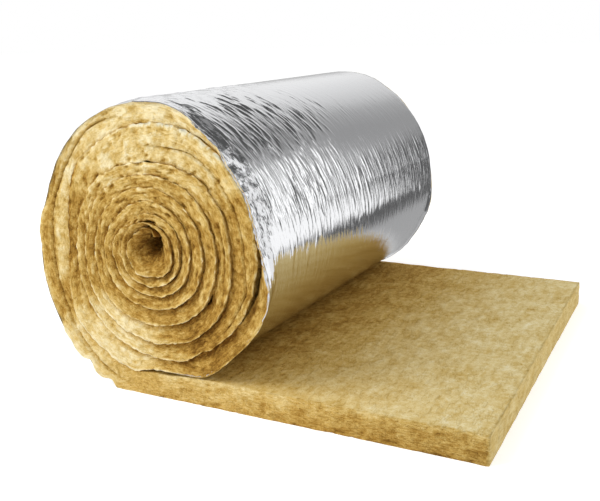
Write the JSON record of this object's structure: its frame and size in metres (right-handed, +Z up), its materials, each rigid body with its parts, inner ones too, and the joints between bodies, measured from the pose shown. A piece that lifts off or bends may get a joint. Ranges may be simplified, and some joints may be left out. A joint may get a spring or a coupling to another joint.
{
  "type": "insulation roll",
  "caption": "Mineral wool insulation mat with an aluminium foil facing, wound into a coil with its bore open and its free end laid out flat.",
  "frame": {"origin": "on the floor at the middle of the whole length and width", "axes": "+X from the coil towards the free end's cut edge, +Y along the coil's axis, +Z up"},
  "size_m": [1.0576, 1, 0.645],
  "materials": {
    "wool": "matte fibrous mineral wool",
    "foil": "bright, finely creased foil"
  },
  "bodies": {
    "root": {"wool_mat": "wool", "foil_facing": "foil"}
  },
  "joints": []
}
